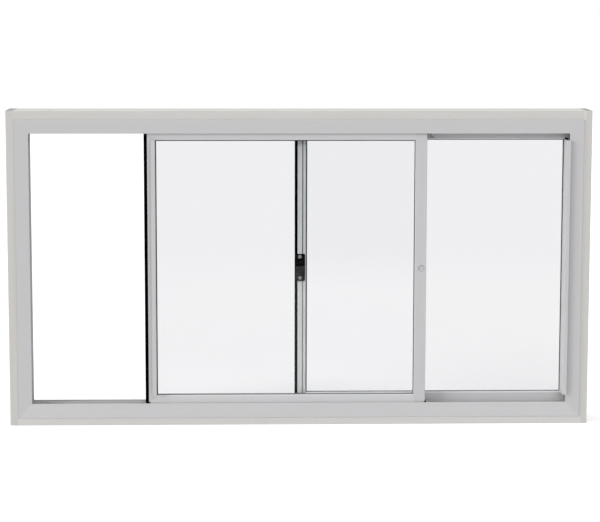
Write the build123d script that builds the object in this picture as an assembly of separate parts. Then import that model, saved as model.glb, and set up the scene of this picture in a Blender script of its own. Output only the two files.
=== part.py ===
from build123d import *
import os

# Two-panel horizontal sliding secondary glazing unit, in millimetres.
# X runs across the window, Y from the room side to the wall side, Z up.
# The origin is the middle of the underside of the timber ground.

os.makedirs("parts", exist_ok=True)

# Timber ground, the sub-frame that lines the reveal
overall_width = 940.0
overall_height = 511.0
ground_side_thickness = 12.8
ground_head_thickness = 14.3
ground_sill_thickness = 11.7
ground_depth = 70.0
ground_arris = 1.0

# Aluminium outer frame with two tracks
frame_proud = 2.0
jamb_face = 23.2
head_face = 22.3
sill_face = 24.0
metal = 2.0
track_pitch = 20.0
rear_flange_drop = 1.1
frame_arris = 1.0
flange_arris = 0.5
running_rail_width = 2.4
running_rail_height = 9.0

# Sliding panels, which reach into the tracks all round and overlap where they meet
panel_thickness = 14.0
jamb_engagement = 12.8
head_engagement = 11.3
sill_engagement = 9.0
meeting_overlap = 16.4
front_panel_opened_by = 196.6
rail_face = 22.0
outer_stile_face = 13.0
front_meeting_face = 19.0
rear_meeting_face = 13.5
edge_seal_width = 5.2
edge_seal_depth = 10.0
sight_bevel = 1.2
meeting_arris = 0.8

# Glazing
glass_thickness = 4.0
gasket_thickness = 1.2
gasket_sightline = 1.2
glazing_groove_depth = 7.0

# Finger pull on each outer stile
pull_metal = 2.0
pull_lip = 6.8
pull_stands_off = 5.0

# Lock button, line down the rear meeting stile and latch keep
button_diameter = 9.5
button_clearance = 0.25
button_depth = 2.6
button_inset = 8.4
stile_line_width = 1.6
stile_line_depth = 2.5
stile_line_inset = 4.5
keep_width = 16.8
keep_height = 44.0
keep_plate = 2.2
keep_hook = 4.5
keep_inset = 1.1
keep_corner = 2.4

# Guides, pile seals and wall fixings
guide_clearance = 0.3
guide_skin = 0.3
guide_length = 24.0
shoe_show = 2.0
shoe_wrap = 2.2
stop_length = 11.6
stop_show = 7.2
stop_depth = 4.0
stop_post = 2.0
stop_slot = 2.0
stop_heel = 5.8
stop_step = 3.6
stop_toe = 1.2
tab_length = 12.3
tab_rise = 2.4
tab_drop = 1.7
tab_arm = 7.0
pile_width = 5.0
pile_gap = 0.4
pile_inset = 2.5
fixing_radius = 2.5
fixing_from_end = 105.0

# Derived positions
frame_front = -ground_depth / 2 - frame_proud
frame_depth = 2 * track_pitch + metal
frame_back = frame_front + frame_depth
frame_half = overall_width / 2 - ground_side_thickness
frame_base = ground_sill_thickness
frame_top = overall_height - ground_head_thickness
opening_half = frame_half - jamb_face
opening_base = frame_base + sill_face
opening_top = frame_top - head_face
panel_side_gap = (track_pitch - metal - panel_thickness) / 2
front_panel_front = frame_front + metal + panel_side_gap
rear_panel_front = front_panel_front + track_pitch
pull_front = frame_front - pull_stands_off
panel_base = opening_base - sill_engagement
panel_top = opening_top + head_engagement
panel_width = opening_half + jamb_engagement + meeting_overlap / 2
sight_base = panel_base + rail_face
sight_top = panel_top - rail_face
running_rail_top = frame_base + metal + running_rail_height
closed_edge = opening_half + jamb_engagement
lock_height = (sight_base + sight_top) / 2


def block(x0, x1, y0, y1, z0, z1):
    """Box between the given limits."""
    middle = Pos((x0 + x1) / 2, (y0 + y1) / 2, (z0 + z1) / 2)
    return middle * Box(abs(x1 - x0), abs(y1 - y0), abs(z1 - z0))


def slab(outline, y0, y1):
    """Solid with an outline in X and Z between two depths."""
    wire = Wire.make_polygon([(x, y0, z) for x, z in outline], close=True)
    return extrude(Face(wire), amount=y1 - y0, dir=(0, 1, 0))


def cylinder_y(x, z, radius, y0, y1):
    """Round bar along Y."""
    return Pos(x, (y0 + y1) / 2, z) * Rot(90, 0, 0) * Cylinder(radius, y1 - y0)


def cylinder_x(y, z, radius, x0, x1):
    """Round bar along X."""
    return Pos((x0 + x1) / 2, y, z) * Rot(0, 90, 0) * Cylinder(radius, x1 - x0)


def edges_near(shape, axis, x=None, y=None, z=None):
    """Straight edges along an axis whose middle has the given coordinates."""
    found = []
    for edge in shape.edges().filter_by(axis):
        middle = edge.center()
        near = True
        for wanted, actual in ((x, middle.X), (y, middle.Y), (z, middle.Z)):
            if wanted is not None and abs(wanted - actual) > 0.01:
                near = False
        if near:
            found.append(edge)
    return found


def save(name, shape):
    """Write one named piece."""
    shape.label = name
    export_step(shape, "parts/" + name + ".step")


# Timber ground: full-height sides with the head and bottom board between them
fixing_heights = (fixing_from_end, overall_height - fixing_from_end)
front_track_centre = front_panel_front + panel_thickness / 2
half_width = overall_width / 2
half_depth = ground_depth / 2

fixing_holes = [
    cylinder_x(front_track_centre, height, fixing_radius, -half_width - 1, -frame_half + metal + 1)
    for height in fixing_heights
]
fixing_holes += [hole.mirror(Plane.YZ) for hole in fixing_holes]

for side, name in ((-1, "ground_left"), (1, "ground_right")):
    board = block(side * half_width, side * frame_half, -half_depth, half_depth, 0, overall_height)
    board = fillet(edges_near(board, Axis.Z, x=side * half_width), ground_arris)
    for hole in fixing_holes:
        board = board - hole
    save(name, board)

for outer, inner, name in ((0, frame_base, "ground_sill"), (overall_height, frame_top, "ground_head")):
    board = block(-frame_half, frame_half, -half_depth, half_depth, outer, inner)
    board = fillet(edges_near(board, Axis.X, z=outer), ground_arris)
    save(name, board)


# Aluminium frame: one profile with a front flange, a middle rib and a rear flange
def frame_section(face, rail_height):
    """Outline of a frame member: inward distance from its back, then depth."""
    rib = track_pitch
    rear = 2 * track_pitch
    outline = [(0, 0), (face, 0), (face, metal)]
    for start in (metal, rib + metal):
        middle = start + (track_pitch - metal) / 2
        outline.append((metal, start))
        if rail_height:
            near = middle - running_rail_width / 2
            far = middle + running_rail_width / 2
            outline += [(metal, near), (metal + rail_height, near)]
            outline += [(metal + rail_height, far), (metal, far)]
        outline.append((metal, start + track_pitch - metal))
        if start == metal:
            outline += [(face, rib), (face, rib + metal)]
    outline += [(face - rear_flange_drop, rear), (face - rear_flange_drop, rear + metal)]
    outline.append((0, rear + metal))
    return outline


left_out, right_out = -frame_half, frame_half
left_in, right_in = -opening_half, opening_half
outer_low_left, outer_low_right = (left_out, frame_base), (right_out, frame_base)
outer_top_left, outer_top_right = (left_out, frame_top), (right_out, frame_top)
inner_low_left, inner_low_right = (left_in, opening_base), (right_in, opening_base)
inner_top_left, inner_top_right = (left_in, opening_top), (right_in, opening_top)
mitred_outlines = {
    "frame_left_jamb": [outer_low_left, outer_top_left, inner_top_left, inner_low_left],
    "frame_right_jamb": [outer_low_right, outer_top_right, inner_top_right, inner_low_right],
    "frame_head": [outer_top_left, outer_top_right, inner_top_right, inner_top_left],
    "frame_sill": [outer_low_left, outer_low_right, inner_low_right, inner_low_left],
}

# Where each member's profile starts, which way is inward, how it runs and how far
frame_width = 2 * frame_half
frame_height = frame_top - frame_base
members = {
    "frame_left_jamb": (outer_low_left, (1, 0), (0, 1), frame_height, jamb_face, 0, Axis.Z),
    "frame_right_jamb": (outer_low_right, (-1, 0), (0, 1), frame_height, jamb_face, 0, Axis.Z),
    "frame_head": (outer_top_left, (0, -1), (1, 0), frame_width, head_face, 0, Axis.X),
    "frame_sill": (outer_low_left, (0, 1), (1, 0), frame_width, sill_face, running_rail_height, Axis.X),
}

for name, (start, inward, along, length, face, rail_height, axis) in members.items():
    points = [
        (start[0] + inward[0] * u, frame_front + v, start[1] + inward[1] * u)
        for u, v in frame_section(face, rail_height)
    ]
    profile = Face(Wire.make_polygon(points, close=True))
    member = extrude(profile, amount=length, dir=(along[0], 0, along[1]))
    for distance, radius in ((0, frame_arris), (face, flange_arris)):
        if along[1]:
            corner = edges_near(member, axis, x=start[0] + inward[0] * distance, y=frame_front)
        else:
            corner = edges_near(member, axis, z=start[1] + inward[1] * distance, y=frame_front)
        member = fillet(corner, radius)
    member = member & slab(mitred_outlines[name], frame_front - 1, frame_back + 1)
    for hole in fixing_holes:
        member = member - hole
    save(name, member)

# Pile seals stand on the flanges and the rib and stop just short of the panels
pile_depth = panel_side_gap - pile_gap
pile_faces = []
for track_front in (frame_front + metal, frame_front + track_pitch + metal):
    pile_faces.append((track_front, track_front + pile_depth))
    track_back = track_front + track_pitch - metal
    pile_faces.append((track_back - pile_depth, track_back))


def pile_strips(x0, x1, z0, z1):
    """The four strips of one frame member as separate solids."""
    return Compound([block(x0, x1, y0, y1, z0, z1) for y0, y1 in pile_faces])


pile_near = rear_flange_drop + pile_inset
pile_far = pile_near + pile_width
head_strips = pile_strips(left_in, right_in, opening_top + pile_near, opening_top + pile_far)
sill_strips = pile_strips(left_in, right_in, opening_base - pile_far, opening_base - pile_near)
left_strips = pile_strips(left_in - pile_far, left_in - pile_near, opening_base, opening_top)
right_strips = pile_strips(right_in + pile_near, right_in + pile_far, opening_base, opening_top)
save("head_pile_seals", head_strips)
save("sill_pile_seals", sill_strips)
save("left_jamb_pile_seals", left_strips)
save("right_jamb_pile_seals", right_strips)


def panel(name, outer_x, side, front, meeting_face, meeting_seal):
    """One sliding panel. side is 1 when its outer stile is on the left, -1 on the right."""
    back = front + panel_thickness
    middle = front + panel_thickness / 2
    seal_far = meeting_seal * edge_seal_width

    def at(distance):
        return outer_x + side * distance

    stile_out = edge_seal_width
    stile_in = edge_seal_width + outer_stile_face
    meeting_out = panel_width - seal_far
    meeting_in = meeting_out - meeting_face

    groove = block(
        at(stile_in - glazing_groove_depth), at(meeting_in + glazing_groove_depth),
        middle - glass_thickness / 2 - gasket_thickness, middle + glass_thickness / 2 + gasket_thickness,
        sight_base - glazing_groove_depth, sight_top + glazing_groove_depth,
    )

    # The rails and the meeting stile are bevelled towards the glass
    def sight_face(grow, y):
        low, high = sight_base - grow, sight_top + grow
        near, far = at(stile_in - grow), at(meeting_in + grow)
        corners = [(near, y, low), (far, y, low), (far, y, high), (near, y, high)]
        return Face(Wire.make_polygon(corners, close=True))

    bevel = loft([sight_face(sight_bevel, front), sight_face(0, front + sight_bevel)])

    # Rails, mitred into the outer stile and butted to the meeting stile
    rails = (("top_rail", panel_top, sight_top, 1), ("bottom_rail", panel_base, sight_base, -1))
    for rail_name, edge, inner, turn in rails:
        outline = [
            (at(stile_out), edge),
            (at(meeting_in), edge),
            (at(meeting_in), inner),
            (at(stile_in), inner),
            (at(stile_out), inner + turn * outer_stile_face),
        ]
        save(name + "_" + rail_name, slab(outline, front, back) - groove - bevel)

    # Outer stile with its finger pull
    outline = [
        (at(stile_out), sight_base - outer_stile_face),
        (at(stile_in), sight_base),
        (at(stile_in), sight_top),
        (at(stile_out), sight_top + outer_stile_face),
    ]
    stile = slab(outline, front, back) - groove
    pull_back = pull_front + pull_metal
    pull_web = block(at(stile_in - pull_metal), at(stile_in), pull_front, front, sight_base, sight_top)
    pull_edge = block(at(stile_in - pull_lip), at(stile_in), pull_front, pull_back, sight_base, sight_top)
    stile = stile + pull_web + pull_edge
    for x in (at(stile_in - pull_lip), at(stile_in)):
        stile = fillet(edges_near(stile, Axis.Z, x=x, y=pull_front), pull_metal * 0.4)
    save(name + "_outer_stile", stile)

    # Meeting stile, full height
    meeting = block(at(meeting_in), at(meeting_out), front, back, panel_base, panel_top) - groove - bevel
    if not meeting_seal:
        # A flush round lock button near the middle of the front panel's meeting stile
        button_x = at(panel_width - button_inset)
        hole_radius = button_diameter / 2 + button_clearance
        hole = cylinder_y(button_x, lock_height, hole_radius, front - 1, front + button_depth)
        meeting = meeting - hole
        button = cylinder_y(button_x, lock_height, button_diameter / 2, front - 0.3, front + button_depth)
        button = fillet(button.edges().group_by(Axis.Y)[0], 0.4)
        save(name + "_lock_button", button)
    else:
        # A shallow decorative groove runs down the rear panel's meeting stile
        line_in = meeting_in + stile_line_inset
        line_out = line_in + stile_line_width
        line_back = front + stile_line_depth
        line = block(at(line_in), at(line_out), front - 1, line_back, panel_base - 1, panel_top + 1)
        meeting = meeting - line
    meeting = fillet(edges_near(meeting, Axis.Z, x=at(meeting_out), y=front), meeting_arris)
    save(name + "_meeting_stile", meeting)

    # Glass in its wrap-round gasket
    cover = glazing_groove_depth - gasket_thickness
    glass = block(
        at(stile_in - cover), at(meeting_in + cover),
        middle - glass_thickness / 2, middle + glass_thickness / 2,
        sight_base - cover, sight_top + cover,
    )
    window = block(
        at(stile_in + gasket_sightline), at(meeting_in - gasket_sightline), front, back,
        sight_base + gasket_sightline, sight_top - gasket_sightline,
    )
    save(name + "_glass", glass)
    save(name + "_gasket", groove - window - glass)

    # Black seals on the vertical edges
    seal_front = middle - edge_seal_depth / 2
    seal_back = middle + edge_seal_depth / 2
    shoe_top = opening_base + shoe_show
    edge_seal = block(at(0), at(edge_seal_width), seal_front, seal_back, shoe_top, panel_top)
    save(name + "_edge_seal", edge_seal)
    if meeting_seal:
        second_seal = block(at(meeting_out), at(panel_width), seal_front, seal_back, shoe_top, panel_top)
        save(name + "_meeting_seal", second_seal)

    # Guide shoes at the bottom corners run on the rail, guides at the top corners steady the panel
    body = block(at(stile_out), at(meeting_out), front, back, panel_base, panel_top)
    shoe_base = running_rail_top + guide_clearance - 2.0
    slot_half = running_rail_width / 2 + guide_clearance
    slot_top = running_rail_top + guide_clearance
    slot_near, slot_far = middle - slot_half, middle + slot_half
    track = block(at(-1), at(panel_width + 6), slot_near, slot_far, shoe_base - 1, slot_top)
    skin_front, skin_back = front - guide_skin, back + guide_skin
    far_end = panel_width if meeting_seal else panel_width + stop_heel
    shoe_width = edge_seal_width + shoe_wrap
    shoe_ends = ((0, shoe_width, guide_length), (far_end, far_end - shoe_width, far_end - guide_length))
    shoes = []
    for end, tall_to, long_to in shoe_ends:
        shoe = block(at(end), at(tall_to), skin_front, skin_back, shoe_base, shoe_top)
        shoe = shoe + block(at(end), at(long_to), skin_front, skin_back, shoe_base, panel_base)
        shoes.append(shoe - body - track)
    save(name + "_bottom_guides", Compound([solid for shoe in shoes for solid in shoe.solids()]))

    guide_top = frame_top - metal - 2.0
    top_guides = []
    guide_ends = ((stile_out, stile_out + guide_length), (meeting_out, meeting_out - guide_length))
    for end, long_to in guide_ends:
        top_guides.append(block(at(end), at(long_to), skin_front, skin_back, panel_top, guide_top))
    if meeting_seal:
        # A flat tab on the rear panel's guide reaches down the front of its outer stile
        # and steps round the upper end of the pull
        tab_in = stile_out + tab_length
        web_side = stile_in - pull_metal - guide_clearance
        outline = [
            (at(stile_out), sight_top - tab_drop),
            (at(web_side), sight_top - tab_drop),
            (at(web_side), sight_top + guide_clearance),
            (at(tab_in), sight_top + guide_clearance),
            (at(tab_in), sight_top + tab_rise),
            (at(stile_out + tab_arm), sight_top + tab_rise),
            (at(stile_out + tab_arm), guide_top),
            (at(stile_out), guide_top),
        ]
        top_guides[0] = top_guides[0] + slab(outline, skin_front, front)
    else:
        # The front panel's stop shows beside the top of its meeting stile:
        # a post, a slot and a sloped foot
        stop_base = opening_top - stop_show
        outline = [
            (at(panel_width), stop_base),
            (at(panel_width + stop_post), stop_base),
            (at(panel_width + stop_post), opening_top),
            (at(panel_width + stop_post + stop_slot), opening_top),
            (at(panel_width + stop_post + stop_slot), stop_base),
            (at(panel_width + stop_length), stop_base),
            (at(panel_width + stop_length), stop_base + stop_toe),
            (at(panel_width + stop_heel), stop_base + stop_step),
            (at(panel_width + stop_heel), guide_top),
            (at(panel_width), guide_top),
        ]
        top_guides[1] = top_guides[1] + slab(outline, skin_front, skin_front + stop_depth)
    save(name + "_top_guides", Compound([solid for guide in top_guides for solid in guide.solids()]))


front_left_edge = -closed_edge + front_panel_opened_by
panel("front_panel", front_left_edge, 1, front_panel_front, front_meeting_face, 0)
panel("rear_panel", closed_edge, -1, rear_panel_front, rear_meeting_face, 1)

# Latch keep on the rear panel's meeting stile
keep_left = closed_edge - panel_width + keep_inset
keep_right = keep_left + keep_width
keep_base = lock_height - keep_height / 2
keep_top = lock_height + keep_height / 2
keep_step = keep_base + keep_height * 0.56
keep_front = rear_panel_front - keep_plate
hook_front = rear_panel_front - keep_hook
keep = block(keep_left, keep_right, keep_front, rear_panel_front, keep_base, keep_top)
keep = fillet(edges_near(keep, Axis.Y, x=keep_right), keep_corner)
hook = block(keep_left, keep_right, hook_front, keep_front, keep_base, keep_step)
hook = fillet(edges_near(hook, Axis.Y, x=keep_right, z=keep_base), keep_corner)
hook = chamfer(edges_near(hook, Axis.X, y=hook_front, z=keep_step), 1.4)
save("latch_keep", keep + hook)
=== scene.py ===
import math
import random

import bmesh
import bpy
from mathutils import Matrix, Vector


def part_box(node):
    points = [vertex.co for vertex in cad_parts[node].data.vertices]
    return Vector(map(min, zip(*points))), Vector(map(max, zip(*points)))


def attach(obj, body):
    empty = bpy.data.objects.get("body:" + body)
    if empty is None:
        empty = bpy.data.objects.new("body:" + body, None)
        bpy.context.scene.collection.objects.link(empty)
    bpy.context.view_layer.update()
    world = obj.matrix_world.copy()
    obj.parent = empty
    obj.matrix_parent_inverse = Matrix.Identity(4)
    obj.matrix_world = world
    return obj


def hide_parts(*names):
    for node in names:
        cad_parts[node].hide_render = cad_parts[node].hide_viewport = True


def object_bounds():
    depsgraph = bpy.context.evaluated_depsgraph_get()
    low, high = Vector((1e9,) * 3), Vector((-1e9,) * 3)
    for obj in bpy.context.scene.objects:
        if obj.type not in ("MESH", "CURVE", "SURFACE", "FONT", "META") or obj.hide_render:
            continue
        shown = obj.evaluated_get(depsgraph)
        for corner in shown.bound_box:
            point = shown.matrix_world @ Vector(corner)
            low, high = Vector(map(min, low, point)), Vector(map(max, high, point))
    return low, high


# Looks of the sliding secondary glazing unit. Metres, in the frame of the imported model.
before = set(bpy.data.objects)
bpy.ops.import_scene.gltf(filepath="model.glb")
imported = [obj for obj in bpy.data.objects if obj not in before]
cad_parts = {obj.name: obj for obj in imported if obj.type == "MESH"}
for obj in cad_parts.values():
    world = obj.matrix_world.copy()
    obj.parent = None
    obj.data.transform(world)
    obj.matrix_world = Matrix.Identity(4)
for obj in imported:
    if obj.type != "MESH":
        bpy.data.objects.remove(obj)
cad_low, cad_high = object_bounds()
scene = bpy.context.scene
scene.view_settings.view_transform = "Standard"


# Camera, matched to the photograph
right = Vector((0.999576, -0.029116, 0.0))
up = Vector((0.003794, 0.130243, 0.991475))
forward = Vector((0.028868, 0.991055, -0.130298))
roll = 0.00151
side = right * math.cos(roll) + up * math.sin(roll)
top = up * math.cos(roll) - right * math.sin(roll)
camera_data = bpy.data.cameras.new("camera")
camera_data.sensor_width = 36.0
camera_data.lens = 121.56
camera_data.clip_start = 0.05
camera_data.clip_end = 200.0
camera = bpy.data.objects.new("camera", camera_data)
scene.collection.objects.link(camera)
placing = Matrix((side, top, -forward)).transposed().to_4x4()
placing.translation = Vector((-0.09418, -3.27608, 0.69477))
camera.matrix_world = placing
scene.camera = camera


# Node helpers
class Nodes:
    """A new material with one Principled shader and short calls for the nodes behind it."""

    def __init__(self, name, colour, roughness, specular=0.5):
        self.material = bpy.data.materials.new(name)
        self.material.use_nodes = True
        self.tree = self.material.node_tree
        self.shader = self.tree.nodes["Principled BSDF"]
        self.set(self.shader, "Base Color", (*colour, 1.0))
        self.set(self.shader, "Roughness", roughness)
        self.set(self.shader, "Specular IOR Level", specular)
        self.place = self.tree.nodes.new("ShaderNodeTexCoord").outputs["Object"]

    def set(self, node, socket, value):
        if isinstance(value, bpy.types.NodeSocket):
            self.tree.links.new(value, node.inputs[socket])
        else:
            node.inputs[socket].default_value = value

    def stretched(self, scale):
        node = self.tree.nodes.new("ShaderNodeMapping")
        self.set(node, "Vector", self.place)
        self.set(node, "Scale", scale)
        return node.outputs["Vector"]

    def drawn_out(self, across, along, axis):
        """Coordinates for a grain that runs along one axis, 0 for X and 2 for Z."""
        scale = [across] * 3
        scale[axis] = along
        return self.stretched(scale)

    def noise(self, vector, scale, detail=3.0, rough=0.5, distortion=0.0):
        node = self.tree.nodes.new("ShaderNodeTexNoise")
        self.set(node, "Vector", vector)
        self.set(node, "Scale", scale)
        self.set(node, "Detail", detail)
        self.set(node, "Roughness", rough)
        self.set(node, "Distortion", distortion)
        return node.outputs["Fac"]

    def rings(self, vector, scale, distortion):
        node = self.tree.nodes.new("ShaderNodeTexWave")
        node.wave_type = "RINGS"
        node.rings_direction = "Z"
        self.set(node, "Vector", vector)
        self.set(node, "Scale", scale)
        self.set(node, "Distortion", distortion)
        self.set(node, "Detail", 2.0)
        return node.outputs["Fac"]

    def ramp(self, factor, low, high, from_value=0.0, to_value=1.0):
        node = self.tree.nodes.new("ShaderNodeMapRange")
        self.set(node, "Value", factor)
        self.set(node, "From Min", low)
        self.set(node, "From Max", high)
        self.set(node, "To Min", from_value)
        self.set(node, "To Max", to_value)
        return node.outputs["Result"]

    def facing(self, axis, low, high):
        """0 where the normal's part on the axis is at low, 1 where it is at high."""
        parts = self.tree.nodes.new("ShaderNodeSeparateXYZ")
        self.set(parts, "Vector", self.tree.nodes.new("ShaderNodeTexCoord").outputs["Normal"])
        return self.ramp(parts.outputs[axis], low, high)

    def coordinate(self, axis):
        """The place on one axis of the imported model's frame."""
        parts = self.tree.nodes.new("ShaderNodeSeparateXYZ")
        self.set(parts, "Vector", self.place)
        return parts.outputs[axis]

    def between(self, axis, low, high):
        """1 between two places on an axis, 0 past them."""
        place = self.coordinate(axis)
        past_low = self.math("GREATER_THAN", place, low)
        return self.math("MULTIPLY", past_low, self.math("LESS_THAN", place, high))

    def math(self, operation, a, b=0.0):
        node = self.tree.nodes.new("ShaderNodeMath")
        node.operation = operation
        self.set(node, 0, a)
        self.set(node, 1, b)
        return node.outputs[0]

    def mix(self, factor, a, b):
        node = self.tree.nodes.new("ShaderNodeMix")
        node.data_type = "RGBA"
        self.set(node, 0, factor)
        self.set(node, 6, a if isinstance(a, bpy.types.NodeSocket) else (*a, 1.0))
        self.set(node, 7, b if isinstance(b, bpy.types.NodeSocket) else (*b, 1.0))
        return node.outputs[2]

    def bump(self, height, distance, strength=1.0):
        node = self.tree.nodes.new("ShaderNodeBump")
        self.set(node, "Height", height)
        self.set(node, "Distance", distance)
        self.set(node, "Strength", strength)
        return node.outputs["Normal"]


def shade(colour, factor):
    return tuple(c * factor for c in colour)


def painted_timber(name, colour, along, end_grain, painted_light_line=None):
    """Off-white satin paint over softwood, brushed along the board. The sawn ends took the paint thinly.

    The last argument, if given, is an axis and two places on it. Between them, beside the frame, the
    paint is painted paler: painted light over the frame's cast shadow.
    """
    m = Nodes(name, colour, 0.42)
    grain = m.noise(m.drawn_out(55.0, 1.6, along), 3.0, 5.0, 0.6, 0.3)
    brush = m.noise(m.drawn_out(420.0, 9.0, along), 2.0, 2.0, 0.5)
    patches = m.noise(m.place, 7.0, 2.0)
    cooler = (colour[0] * 1.012, colour[1] * 1.021, colour[2] * 1.03)
    tone = m.mix(m.ramp(grain, 0.3, 0.7), shade(colour, 0.965), shade(colour, 1.02))
    tone = m.mix(m.ramp(patches, 0.35, 0.65, 0.0, 0.35), tone, cooler)
    height = m.math("ADD", m.math("MULTIPLY", grain, 0.7), m.math("MULTIPLY", brush, 0.3))
    if not end_grain:
        # Painted light: the level boards' sides that look up are painted paler, as lit from above
        tone = m.mix(m.facing("Z", 0.6, 0.9), tone, (0.74, 0.745, 0.72))
    else:
        end = m.math("MAXIMUM", m.facing("Z", 0.75, 0.95), m.facing("Z", -0.75, -0.95))
        growth = m.rings(m.stretched((1.0, 1.0, 0.0)), 260.0, 6.0)
        pores = m.noise(m.place, 1500.0, 2.0)
        mix_share = m.math("MULTIPLY", m.ramp(growth, 0.2, 0.8, 0.8, 1.0), m.ramp(pores, 0.3, 0.6, 0.85, 1.0))
        # Barest toward the unit's outer edge
        from_middle = m.math("ABSOLUTE", m.coordinate("X"))
        bare = m.ramp(from_middle, cad_high[0] - 0.010, cad_high[0] - 0.004, 0.35, 1.0)
        tone = m.mix(m.math("MULTIPLY", m.math("MULTIPLY", end, bare), mix_share), tone, (0.31, 0.29, 0.27))
        height = m.math("ADD", height, m.math("MULTIPLY", m.math("MULTIPLY", end, pores), -0.8))
    # Painted light: paler paint beside the frame, where its shadow falls
    if painted_light_line:
        tone = m.mix(m.between(*painted_light_line), tone, shade(colour, 1.15))
    m.set(m.shader, "Base Color", tone)
    m.set(m.shader, "Roughness", m.ramp(brush, 0.3, 0.7, 0.36, 0.5))
    m.set(m.shader, "Normal", m.bump(height, 0.00016))
    return m.material


def coated_aluminium(name, colour, along, groove=None, upper=1.0, painted_shade_to=None, painted_light_bands=()):
    """Light grey powder coat: fine orange peel, with the extrusion's faint die lines under it.

    groove is the low X, the high X and the depth behind which a groove is painted dark: painted shade.
    upper is a factor by which the sides that look up are painted paler: painted light.
    The next argument is an X. Left of it the coat is painted darker, a painted shade line along the
    outer edge, and the sides that look right are painted paler, painted light.
    The last argument lists the low Z, the high Z and the factor of lines along which the coat is painted
    paler: painted light.
    """
    roughness = 0.4
    m = Nodes(name, colour, roughness)
    peel = m.noise(m.place, 1400.0, 2.0, 0.45)
    lines = m.noise(m.drawn_out(900.0, 2.0, along), 1.0, 2.0, 0.4)
    cloud = m.noise(m.place, 9.0, 2.0)
    tone = m.mix(m.ramp(lines, 0.35, 0.65), shade(colour, 0.988), shade(colour, 1.012))
    tone = m.mix(m.ramp(cloud, 0.3, 0.7, 0.0, 0.4), tone, shade(colour, 0.985))
    # Painted light: sides that look up are painted paler
    if upper > 1.0:
        tone = m.mix(m.facing("Z", 0.4, 0.7), tone, shade(colour, upper))
    # Painted shade along the jamb's outer edge, and painted light on the sides that look right
    if painted_shade_to:
        tone = m.mix(m.math("LESS_THAN", m.coordinate("X"), painted_shade_to), tone, shade(colour, 0.84))
        tone = m.mix(m.facing("X", 0.4, 0.8), tone, shade(colour, 1.2))
    # Painted light: lines of the coat painted paler
    for low, high, factor in painted_light_bands:
        tone = m.mix(m.between("Z", low, high), tone, shade(colour, factor))
    # Painted shade: the groove is painted near black behind its mouth
    if groove:
        low, high, mouth = groove
        behind_mouth = m.ramp(m.coordinate("Y"), mouth, mouth + 0.0006)
        groove_shade = m.math("MULTIPLY", m.between("X", low, high), behind_mouth)
        # Below the latch a painted reflection from the front pane: the groove's painted shade is halved
        # and the coat painted paler
        painted_reflection = m.ramp(m.coordinate("Z"), REFLECTION_FROM, REFLECTION_TO)
        groove_shade = m.math("MULTIPLY", groove_shade, m.math("SUBTRACT", 1.0, m.math("MULTIPLY", painted_reflection, 0.5)))
        tone = m.mix(painted_reflection, tone, shade(colour, 1.10))
        tone = m.mix(groove_shade, tone, (0.012, 0.012, 0.012))
    height = m.math("ADD", m.math("MULTIPLY", peel, 0.6), m.math("MULTIPLY", lines, 0.4))
    m.set(m.shader, "Base Color", tone)
    m.set(m.shader, "Roughness", m.ramp(peel, 0.3, 0.7, roughness - 0.05, roughness + 0.06))
    m.set(m.shader, "Normal", m.bump(height, 0.00003))
    return m.material


def rubber(name, colour, roughness, specular, along=None, dust_and_painted_light=False, painted_reflection_tone=None):
    """Extruded rubber with a little dust, and fine lines along its length if along is given.

    The last argument is its tone below the step of the latch, a painted reflection.
    """
    m = Nodes(name, colour, roughness, specular)
    fineness = 1300.0
    grain = m.stretched((fineness,) * 3) if along is None else m.drawn_out(fineness, 6.0, along)
    lines = m.noise(grain, 1.0, 3.0, 0.55)
    dust = m.noise(m.place, 40.0, 4.0, 0.6)
    tone = m.mix(m.ramp(dust, 0.45, 0.75, 0.0, 0.5), colour, shade(colour, 1.6))
    if dust_and_painted_light:
        # Dust along the pane's foot, dust and painted light on sides that look up, and painted light on
        # sides that look left
        foot = m.ramp(m.coordinate("Z"), PANE_FOOT + 0.0003, PANE_FOOT)
        tone = m.mix(foot, tone, (0.06, 0.06, 0.06))
        tone = m.mix(m.facing("Z", 0.5, 0.9), tone, (0.45, 0.45, 0.45))
        tone = m.mix(m.facing("X", -0.5, -0.9), tone, (0.14, 0.14, 0.14))
    # Painted reflection: a paler tone below the latch's step
    if painted_reflection_tone:
        below_step = m.ramp(m.coordinate("Z"), LATCH_STEP + 0.001, LATCH_STEP - 0.003)
        tone = m.mix(below_step, tone, painted_reflection_tone)
    m.set(m.shader, "Base Color", tone)
    m.set(m.shader, "Roughness", m.ramp(lines, 0.3, 0.7, roughness - 0.08, roughness + 0.1))
    m.set(m.shader, "Normal", m.bump(lines, 0.00012))
    return m.material


def moulded(name, colour, roughness, specular=0.5, grey_from=None):
    """Moulded plastic with a fine spark-eroded texture, painted grey to the right of the last argument,
    to blend with the shaded track beside it.
    """
    m = Nodes(name, colour, roughness, specular)
    grit = m.noise(m.place, 2600.0, 2.0, 0.6)
    wear = m.noise(m.place, 120.0, 3.0)
    tone = m.mix(m.ramp(wear, 0.4, 0.7), shade(colour, 0.92), shade(colour, 1.12))
    # Painted grey to blend with the shaded track beside it
    if grey_from is not None:
        mix_share = m.ramp(m.coordinate("X"), grey_from, grey_from + 0.0006)
        tone = m.mix(mix_share, tone, (0.36, 0.36, 0.365))
    m.set(m.shader, "Base Color", tone)
    m.set(m.shader, "Roughness", m.ramp(grit, 0.3, 0.7, roughness - 0.06, roughness + 0.08))
    m.set(m.shader, "Normal", m.bump(grit, 0.00004))
    return m.material


def pile(name, colour):
    """Woven pile: short upright fibres, darker between them."""
    m = Nodes(name, colour, 0.9, 0.2)
    fibres = m.noise(m.place, 2400.0, 2.0, 0.7)
    tufts = m.noise(m.place, 600.0, 2.0, 0.5)
    tone = m.mix(m.ramp(fibres, 0.3, 0.65), shade(colour, 0.45), shade(colour, 1.35))
    tone = m.mix(m.ramp(tufts, 0.35, 0.65, 0.0, 0.4), tone, shade(colour, 0.7))
    m.set(m.shader, "Base Color", tone)
    m.set(m.shader, "Sheen Weight", 0.3)
    m.set(m.shader, "Normal", m.bump(fibres, 0.0003))
    return m.material


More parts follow.
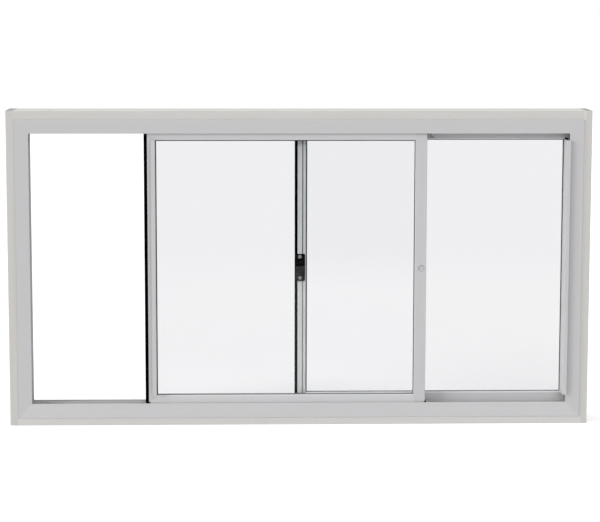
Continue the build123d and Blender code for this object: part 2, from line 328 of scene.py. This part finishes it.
def glazing(name, tint, reflection_tint):
    """Clear float glass. Below the latch its tint is paler, a painted reflection. Lamps pass through to
    what is behind.
    """
    m = Nodes(name, tint, 0.0, 0.06)
    # Painted reflection: a paler tint below the latch
    painted_reflection = m.ramp(m.coordinate("Z"), REFLECTION_FROM, REFLECTION_TO)
    m.set(m.shader, "Base Color", m.mix(painted_reflection, tint, reflection_tint))
    m.set(m.shader, "Transmission Weight", 1.0)
    m.set(m.shader, "IOR", 1.1)
    ripple = m.noise(m.stretched((3.0, 3.0, 0.6)), 1.0, 1.0)
    m.set(m.shader, "Normal", m.bump(ripple, 0.0004, 0.5))
    light = m.tree.nodes.new("ShaderNodeLightPath")
    clear = m.tree.nodes.new("ShaderNodeBsdfTransparent")
    m.set(clear, "Color", (*shade(tint, 0.97), 1.0))
    mixer = m.tree.nodes.new("ShaderNodeMixShader")
    m.set(mixer, 0, light.outputs["Is Shadow Ray"])
    m.set(mixer, 1, m.shader.outputs["BSDF"])
    m.set(mixer, 2, clear.outputs["BSDF"])
    output = next(n for n in m.tree.nodes if n.type == "OUTPUT_MATERIAL")
    m.tree.links.new(mixer.outputs[0], output.inputs["Surface"])
    return m.material


def steel(name):
    """Bright zinc-plated steel with faint turning marks."""
    colour = (0.30, 0.30, 0.315)
    m = Nodes(name, colour, 0.35)
    m.set(m.shader, "Metallic", 1.0)
    marks = m.noise(m.place, 3000.0, 3.0)
    tone = m.mix(m.ramp(marks, 0.3, 0.7), shade(colour, 0.85), shade(colour, 1.1))
    m.set(m.shader, "Base Color", tone)
    m.set(m.shader, "Roughness", m.ramp(marks, 0.3, 0.7, 0.28, 0.42))
    m.set(m.shader, "Normal", m.bump(marks, 0.00003))
    return m.material


# The groove down the rear panel's meeting stile lies this far from its glass side
# The groove is painted dark further down: painted shade
stile_low, stile_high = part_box("rear_panel_meeting_stile")
LINE_FROM_GLASS, LINE_WIDTH = 0.0045, 0.0016
line_high = stile_high[0] - LINE_FROM_GLASS
line = (line_high - LINE_WIDTH - 0.0001, line_high + 0.0001, stile_low[1] + 0.0002)

# The height at which the latch's raised catch ends, and the heights between which the painted reflection
# below the latch sets in
keep_low, keep_high = (Vector(c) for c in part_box("latch_keep"))
LATCH_STEP = keep_low.z + (keep_high.z - keep_low.z) * 0.56 - 0.0015
REFLECTION_FROM, REFLECTION_TO = LATCH_STEP + 0.025, LATCH_STEP - 0.035

# The dust line at the foot of the panes, and the edges beside which painted light and shade lie on the
# coat or paint
PANE_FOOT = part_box("front_panel_bottom_rail")[1][2] + 0.0013
FRAME_LEFT, FRAME_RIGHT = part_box("frame_left_jamb")[0][0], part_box("frame_right_jamb")[1][0]
FRAME_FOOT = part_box("frame_sill")[0][2]
HEAD_FOOT, RAIL_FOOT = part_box("frame_head")[0][2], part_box("front_panel_top_rail")[0][2]
STILE_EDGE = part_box("front_panel_meeting_stile")[1][0]
# Bands of painted light on the timber, where the frame's shadow falls
beside_frame = ("X", FRAME_RIGHT - 0.0003, FRAME_RIGHT + 0.003)
under_frame = ("Z", FRAME_FOOT - 0.0016, FRAME_FOOT + 0.0003)
# Painted light on the top rails: a painted highlight at the rail's foot, and paler where the frame
# head's shadow falls
rail_painted_light = (
    (RAIL_FOOT - 0.0003, RAIL_FOOT + 0.0016, 1.18),
    (HEAD_FOOT - 0.0016, HEAD_FOOT + 0.001, 1.12),
)

OFF_WHITE = (0.570, 0.556, 0.538)
FRAME_GREY = (0.552, 0.550, 0.560)
PANEL_GREY = (0.548, 0.547, 0.558)
STILE_GREY = (0.521, 0.533, 0.530)
# Seals and moulded parts: black, made darker than real rubber and plastic by painted shade
SEAL_BLACK = (0.0012, 0.0012, 0.0012)
MOULDED_BLACK = (0.002, 0.002, 0.0022)
# The factors on the shared colours are painted light and shade: one paint or coat made lighter or darker
# member by member as the light falls on it
looks = {
    "timber_upright": painted_timber("timber_upright", shade(OFF_WHITE, 0.965), 2, True, beside_frame),
    "timber_head": painted_timber("timber_head", OFF_WHITE, 0, False),
    "timber_sill": painted_timber("timber_sill", shade(OFF_WHITE, 1.075), 0, False, under_frame),
    "frame_upright": coated_aluminium(
        "frame_upright", shade(FRAME_GREY, 0.935), 2, painted_shade_to=FRAME_LEFT + 0.0015,
    ),
    "frame_head": coated_aluminium("frame_head", shade(FRAME_GREY, 0.94), 0),
    "frame_sill": coated_aluminium("frame_sill", shade(FRAME_GREY, 1.01), 0, upper=1.17),
    "panel_upright": coated_aluminium("panel_upright", shade(PANEL_GREY, 0.955), 2),
    "panel_top": coated_aluminium("panel_top", PANEL_GREY, 0, painted_light_bands=rail_painted_light),
    "panel_bottom": coated_aluminium("panel_bottom", shade(PANEL_GREY, 1.05), 0, upper=1.2),
    "panel_grooved": coated_aluminium("panel_grooved", shade(STILE_GREY, 0.845), 2, groove=line),
    "gasket": rubber("gasket", (0.016, 0.016, 0.017), 0.5, 0.4, dust_and_painted_light=True),
    "edge_seal": rubber("edge_seal", SEAL_BLACK, 0.9, 0.0, 2),
    # The rear panel's seal, paler below the latch by a painted reflection
    "faded_seal": rubber("faded_seal", SEAL_BLACK, 0.9, 0.0, 2, painted_reflection_tone=(0.022, 0.022, 0.023)),
    "black_plastic": moulded("black_plastic", MOULDED_BLACK, 0.5, 0.03),
    "shoe_plastic": moulded(
        "shoe_plastic", MOULDED_BLACK, 0.5, 0.03, grey_from=STILE_EDGE + 0.0012,
    ),
    "worn_plastic": moulded("worn_plastic", (0.020, 0.020, 0.022), 0.45),
    "dark_plastic": moulded("dark_plastic", (0.13, 0.13, 0.135), 0.45),
    # The catch's black is paler than the plate's: painted light
    "satin_black": moulded("satin_black", (0.014, 0.014, 0.015), 0.4, 0.2),
    "button_plastic": moulded("button_plastic", (0.60, 0.60, 0.61), 0.4),
    "grey_pile": pile("grey_pile", (0.17, 0.17, 0.175)),
    "glass": glazing("glass", (0.972, 0.972, 0.982), (0.998, 0.998, 1.0)),
    "steel": steel("steel"),
}


def look_of(node):
    if node.startswith("ground_"):
        return "timber_upright" if node.endswith(("left", "right")) else node.replace("ground", "timber")
    if node.startswith("frame_"):
        return "frame_upright" if node.endswith("jamb") else node
    if node.endswith("_rail"):
        return "panel_top" if node.endswith("top_rail") else "panel_bottom"
    if node.endswith("_stile"):
        return "panel_grooved" if node == "rear_panel_meeting_stile" else "panel_upright"
    if node.endswith("_pile_seals"):
        return "grey_pile"
    if node.endswith("_glass"):
        return "glass"
    if node.endswith("_gasket"):
        return "gasket"
    if node.endswith(("edge_seal", "meeting_seal")):
        return "edge_seal"
    if node.endswith("lock_button"):
        return "button_plastic"
    if node.endswith("_top_guides"):
        return "dark_plastic" if node == "front_panel_top_guides" else "worn_plastic"
    return "shoe_plastic" if node == "front_panel_bottom_guides" else "black_plastic"


for node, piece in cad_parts.items():
    for material_slot in piece.material_slots:
        material_slot.material = looks[look_of(node)]


def new_piece(name, mesh, look, replaced=()):
    """A closed mesh as a piece that rides with the unit."""
    bmesh.ops.recalc_face_normals(mesh, faces=mesh.faces)
    data = bpy.data.meshes.new(name)
    mesh.to_mesh(data)
    mesh.free()
    data.materials.append(looks[look])
    piece = bpy.data.objects.new(name, data)
    scene.collection.objects.link(piece)
    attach(piece, "root")
    if replaced:
        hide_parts(*replaced)


def skin(mesh, first, second):
    """Four-sided faces between two closed loops with the same number of points."""
    for i in range(len(first)):
        j = (i + 1) % len(first)
        mesh.faces.new((first[i], first[j], second[j], second[i]))


def turned(mesh, profile, centre, segments=48):
    """Turns a profile of radius and depth pairs about an axis along Y and returns its last ring."""
    angles = [2 * math.pi * i / segments for i in range(segments)]
    loops = []
    for radius, depth in profile:
        if radius == 0:
            loops.append([mesh.verts.new(centre + Vector((0, depth, 0)))])
            continue
        loops.append([
            mesh.verts.new(centre + Vector((radius * math.cos(a), depth, radius * math.sin(a))))
            for a in angles
        ])
    for first, second in zip(loops, loops[1:]):
        for i in range(segments):
            j = (i + 1) % segments
            corners = [first[i % len(first)], first[j % len(first)]]
            corners += [second[j % len(second)], second[i % len(second)]]
            mesh.faces.new([v for n, v in enumerate(corners) if v not in corners[:n]])
    return loops[-1]


def cross_recess(mesh, ring, centre, turn, arm, half_width, rise, depth):
    """Closes a screw head inside its last ring, with a cross-shaped recess in the middle."""
    outline = []
    for quarter in range(4):
        angle = turn + quarter * math.pi / 2
        cos, sin = math.cos(angle), math.sin(angle)
        for x, z in ((half_width, half_width), (arm, half_width), (arm, -half_width)):
            outline.append((x * cos + z * sin, z * cos - x * sin))
    lip = [mesh.verts.new(centre + Vector((x, -rise, z))) for x, z in outline]
    foot = [mesh.verts.new(centre + Vector((x * 0.8, depth - rise, z * 0.8))) for x, z in outline]
    edges = []
    for loop in (ring, lip):
        for first, second in zip(loop, loop[1:] + loop[:1]):
            edges.append(mesh.edges.get((first, second)) or mesh.edges.new((first, second)))
    bmesh.ops.triangle_fill(mesh, edges=edges, use_beauty=True)
    skin(mesh, lip, foot)
    mesh.faces.new(foot)


def prism(mesh, outline, back, front, edge):
    """Plate with the given outline in X and Z, its front edge rounded off."""
    middle_x = sum(x for x, z in outline) / len(outline)
    middle_z = sum(z for x, z in outline) / len(outline)
    size_x = max(x for x, z in outline) - min(x for x, z in outline)
    size_z = max(z for x, z in outline) - min(z for x, z in outline)
    loops = []
    steps = [(0.0, back)]
    for i in range(4):
        angle = math.pi / 2 * i / 3
        steps.append((edge * (1 - math.cos(angle)), front + edge * (1 - math.sin(angle))))
    for inset, y in steps:
        shrink_x, shrink_z = 1 - 2 * inset / size_x, 1 - 2 * inset / size_z
        loops.append([
            mesh.verts.new((
                middle_x + (x - middle_x) * shrink_x, y, middle_z + (z - middle_z) * shrink_z,
            ))
            for x, z in outline
        ])
    mesh.faces.new(loops[0])
    for first, second in zip(loops, loops[1:]):
        skin(mesh, first, second)
    mesh.faces.new(loops[-1])


def rounded(low_x, high_x, low_z, high_z, radii):
    """Outline with its corners rounded, from the lower left corner round to the right."""
    corners = (
        (low_x, low_z, 1, 1), (high_x, low_z, -1, 1),
        (high_x, high_z, -1, -1), (low_x, high_z, 1, -1),
    )
    outline = []
    for number, ((x, z, turn_x, turn_z), radius) in enumerate(zip(corners, radii)):
        middle_x, middle_z = x + turn_x * radius, z + turn_z * radius
        for i in range(7):
            angle = math.pi + math.pi / 2 * number + math.pi / 2 * i / 6
            outline.append((middle_x + radius * math.cos(angle), middle_z + radius * math.sin(angle)))
    return outline


# Latch keep: a plate with a raised catch and a thin rib on its lower part
stile_face = keep_high.y
plate_front = stile_face - 0.0022
catch_front = keep_low.y + 0.0002
keep_right, keep_foot, keep_head = keep_high.x - 0.0006, keep_low.z - 0.0006, keep_high.z - 0.0007
mesh = bmesh.new()
plate = rounded(keep_low.x, keep_right, keep_foot, keep_head, (0.0006, 0.0024, 0.0024, 0.0006))
prism(mesh, plate, stile_face, plate_front, 0.0004)
new_piece("latch_plate", mesh, "black_plastic", ["latch_keep"])
mesh = bmesh.new()
catch = rounded(keep_low.x + 0.0008, keep_right, keep_foot, LATCH_STEP, (0.0006, 0.0024, 0.0005, 0.0005))
prism(mesh, catch, plate_front + 0.0003, catch_front, 0.0008)
rib_x, rib_half = keep_low.x + 0.0045, 0.0004
rib_foot, rib_head = keep_low.z + 0.009, LATCH_STEP - 0.0012
rib = rounded(rib_x - rib_half, rib_x + rib_half, rib_foot, rib_head, (0.0002,) * 4)
prism(mesh, rib, keep_low.y + 0.0004, keep_low.y, 0.00015)
new_piece("latch_catch", mesh, "satin_black")

# Latch screws: pan heads with a cross recess. The head is pairs of radius and depth.
screw_x = keep_low.x + 0.0077
head = [(0.0, 0.0006), (0.0030, 0.0006), (0.0030, -0.0002), (0.00285, -0.0006)]
head += [(0.00255, -0.00095), (0.0021, -0.00115)]
for name, z, front, turn in (
    ("latch_screw_upper", keep_high.z - 0.0051, plate_front, 0.25),
    ("latch_screw_lower", keep_low.z + 0.0044, catch_front, 0.72),
):
    mesh = bmesh.new()
    centre = Vector((screw_x, front, z))
    last = turned(mesh, head, centre)
    cross_recess(mesh, last, centre, turn, arm=0.0017, half_width=0.0004, rise=0.0012, depth=0.001)
    new_piece(name, mesh, "steel")

# Lock button: a plug in its hole, with a raised rim and a shallow dish
button_low, button_high = (Vector(c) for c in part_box("front_panel_lock_button"))
stile_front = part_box("front_panel_meeting_stile")[0][1]
centre = Vector(((button_low.x + button_high.x) / 2, stile_front, (button_low.z + button_high.z) / 2))
radius = (button_high.x - button_low.x) / 2 - 0.0003
# Pairs of the distance in from the plug's side and the depth
rim = ((0.0, -0.0001), (0.0002, -0.0003), (0.0008, -0.0003), (0.0011, 0.0), (0.0012, 0.0009))
dish = ((0.0018, 0.0011), (0.0022, 0.0008), (0.003, 0.0004))
plug = [(0.0, 0.0026), (radius, 0.0026)] + [(radius - inset, depth) for inset, depth in rim + dish]
plug += [(0.0008, 0.0003), (0.0, 0.0003)]
mesh = bmesh.new()
turned(mesh, plug, centre)
new_piece("lock_button", mesh, "button_plastic", ["front_panel_lock_button"])


# Gaskets: a rounded bead before and behind each pane. The pane sits a little off the middle
# of its panel, so the bead shows wider on one side than on the other.
def bead(mesh, low, high, lips, taper, outer, inner):
    """Closed ring between two depths. low and high are the sight lines' corners in X and Z.

    lips are the widths on the left, right, foot and head. The side lips are wider by taper at
    their head and narrower at their foot. The profile is a width added to the lip's, the share
    of the lip's width, and the share of the depth.
    """
    section = []
    profile = (
        (-0.004, 0.0, 0.0), (-0.0003, 1.0, 0.0), (0.0, 1.0, 0.4),
        (0.0, 1.0, 1.0), (-0.004, 0.0, 1.0),
    )
    for extra, share, depth in profile:
        left, right, foot, head = (lip * share + extra for lip in lips)
        lean = taper * share
        y = outer + (inner - outer) * depth
        corners = ((low[0] + left - lean, low[1] + foot), (high[0] - right + lean, low[1] + foot))
        corners += ((high[0] - right - lean, high[1] - head), (low[0] + left + lean, high[1] - head))
        section.append([mesh.verts.new((x, y, z)) for x, z in corners])
    for first, second in zip(section, section[1:] + section[:1]):
        skin(mesh, first, second)


bead_depth, clearance = 0.0012, 0.00002
for panel, left_stile, right_stile, lips, taper in (
    ("front_panel", "outer_stile", "meeting_stile", (0.0014, 0.0009, 0.0009, 0.0015), 0.0),
    ("rear_panel", "meeting_stile", "outer_stile", (0.00185, 0.0009, 0.0006, 0.0012), 0.0002),
):
    low = (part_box(f"{panel}_{left_stile}")[1][0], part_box(f"{panel}_bottom_rail")[1][2])
    high = (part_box(f"{panel}_{right_stile}")[0][0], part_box(f"{panel}_top_rail")[0][2])
    pane_front, pane_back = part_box(f"{panel}_glass")[0][1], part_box(f"{panel}_glass")[1][1]
    mesh = bmesh.new()
    bead(mesh, low, high, lips, taper, pane_front - bead_depth, pane_front - clearance)
    bead(mesh, low, high, lips, taper, pane_back + bead_depth, pane_back + clearance)
    new_piece(f"{panel}_bead", mesh, "gasket", [f"{panel}_gasket"])


# Edge seals that show: strips with rounded corners and two shallow flutes down the front
def fluted_strip(mesh, low, high):
    width, depth = high[0] - low[0], high[1] - low[1]
    corner, nick = 0.0008, 0.0002
    flute_half, flute_depth = 0.0004, 0.0005
    outline = [(0.0, depth), (0.0, corner), (nick, nick), (corner, 0.0)]
    for middle in (width * 0.38, width * 0.62):
        outline += [(middle - flute_half, 0.0), (middle, flute_depth), (middle + flute_half, 0.0)]
    outline += [(width - corner, 0.0), (width - nick, nick), (width, corner), (width, depth)]
    foot = [mesh.verts.new((low[0] + x, low[1] + y, low[2])) for x, y in outline]
    head = [mesh.verts.new((low[0] + x, low[1] + y, high[2])) for x, y in outline]
    mesh.faces.new(foot)
    mesh.faces.new(head)
    skin(mesh, foot, head)


# The front panel's strip bulges a little into the open bay, the rear panel's is pressed thinner
for node, bulge, look in (
    ("front_panel_edge_seal", 0.0003, "edge_seal"),
    ("rear_panel_meeting_seal", -0.0006, "faded_seal"),
):
    low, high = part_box(node)
    mesh = bmesh.new()
    fluted_strip(mesh, (low[0] - bulge, low[1], low[2]), high)
    new_piece(node + "_strip", mesh, look, [node])


# Pile seals: a backing strip with a ragged row of fibre tips. The section is pairs of the share
# of the strip's width and the share of its height.
PILE_SECTION = ((0.0, 0.0), (0.06, 0.55), (0.3, 1.0), (0.5, 0.9), (0.7, 1.0), (0.94, 0.55), (1.0, 0.0))
TUFT_PITCH = 0.0013


def pile_strip(mesh, low, high, tip, rng):
    """One strip in the given box. tip is 1 when the fibres point to +Y, -1 when they point to -Y."""
    along = 0 if high[0] - low[0] > high[2] - low[2] else 2
    across = 2 - along
    count = max(2, int((high[along] - low[along]) / TUFT_PITCH))
    root = low[1] if tip > 0 else high[1]
    reach = high[1] - low[1]
    width = high[across] - low[across]
    previous = None
    for i in range(count + 1):
        section = []
        for share, height in PILE_SECTION:
            point = [0.0, 0.0, 0.0]
            wobble = 0.0 if height == 0.0 else rng.uniform(-0.03, 0.03)
            point[along] = low[along] + (high[along] - low[along]) * i / count
            point[across] = low[across] + width * min(1.0, max(0.0, share + wobble))
            point[1] = root + tip * reach * height * (rng.uniform(0.78, 1.0) if height else 1.0)
            section.append(mesh.verts.new(point))
        if previous:
            for j in range(len(section) - 1):
                mesh.faces.new((previous[j], previous[j + 1], section[j + 1], section[j]))
            mesh.faces.new((previous[0], section[0], section[-1], previous[-1]))
        if i in (0, count):
            mesh.faces.new(section)
        previous = section


def islands(data):
    """Boxes of the separate solids of a mesh."""
    mesh = bmesh.new()
    mesh.from_mesh(data)
    bmesh.ops.remove_doubles(mesh, verts=mesh.verts, dist=1e-6)
    left = set(mesh.verts)
    found = []
    while left:
        stack, group = [left.pop()], []
        while stack:
            vertex = stack.pop()
            group.append(vertex.co.copy())
            for edge in vertex.link_edges:
                other = edge.other_vert(vertex)
                if other in left:
                    left.remove(other)
                    stack.append(other)
        low = [min(p[k] for p in group) for k in range(3)]
        high = [max(p[k] for p in group) for k in range(3)]
        found.append((low, high))
    mesh.free()
    return sorted(found)


# By depth, the strips point forward and back in turn, so those of a track face each other
for node in ("head_pile_seals", "sill_pile_seals", "left_jamb_pile_seals", "right_jamb_pile_seals"):
    rng = random.Random(node)
    boxes = sorted(islands(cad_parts[node].data), key=lambda box: box[0][1])
    mesh = bmesh.new()
    for i, (low, high) in enumerate(boxes):
        pile_strip(mesh, low, high, 1 if i % 2 == 0 else -1, rng)
    new_piece(node.replace("_seals", ""), mesh, "grey_pile", [node])


# Floor: a plain pale sheet, white to the camera and near white through the glass
def lit_white(name, colour, seen, through):
    """A sheet that glows by seen to the camera and by through behind or in the glass."""
    m = Nodes(name, colour, 0.9, 0.0)
    light = m.tree.nodes.new("ShaderNodeLightPath")
    camera_ray = light.outputs["Is Camera Ray"]
    behind = m.math("MAXIMUM", light.outputs["Is Transmission Ray"], light.outputs["Is Glossy Ray"])
    glow = m.math("ADD", m.math("MULTIPLY", camera_ray, seen), m.math("MULTIPLY", behind, through))
    # Through the panes it is a little blue
    m.set(m.shader, "Emission Color", m.mix(camera_ray, (1.0, 1.0, 1.15), (1.0, 1.0, 1.0)))
    m.set(m.shader, "Emission Strength", glow)
    return m.material


reach = 60
mesh = bmesh.new()
corners = ((-reach, -reach), (reach, -reach), (reach, reach), (-reach, reach))
mesh.faces.new([mesh.verts.new((x, y, 0.0)) for x, y in corners])
data = bpy.data.meshes.new("floor")
mesh.to_mesh(data)
mesh.free()
data.materials.append(lit_white("floor", (0.86, 0.86, 0.86), 0.35, 0.062))
floor = bpy.data.objects.new("floor", data)
scene.collection.objects.link(floor)

# World: white to the camera, a softer level as light
world = bpy.data.worlds.new("world")
world.use_nodes = True
scene.world = world
nodes, links = world.node_tree.nodes, world.node_tree.links
background = nodes["Background"]
background.inputs["Color"].default_value = (1.0, 1.0, 1.0, 1.0)
path = nodes.new("ShaderNodeLightPath")
seen = nodes.new("ShaderNodeMapRange")
seen.inputs["To Min"].default_value = 0.565
seen.inputs["To Max"].default_value = 1.0
links.new(path.outputs["Is Camera Ray"], seen.inputs["Value"])
links.new(seen.outputs["Result"], background.inputs["Strength"])


def soft_sun(name, source, spread, strength):
    """Broad even lamp that shines from the given direction. spread is its angle in degrees."""
    lamp = bpy.data.lights.new(name, "SUN")
    lamp.angle = math.radians(spread)
    lamp.energy = strength
    thing = bpy.data.objects.new(name, lamp)
    scene.collection.objects.link(thing)
    thing.location = Vector(source).normalized() * 3.0
    thing.rotation_euler = (-Vector(source)).to_track_quat("-Z", "Y").to_euler()


soft_sun("key", (-2.2, -1.0, 0.6), 25.0, 1.48)
soft_sun("fill", (0.25, -1.0, 0.6), 35.0, 0.5)
soft_sun("top", (-0.1, -0.1, 1.0), 60.0, 0.65)
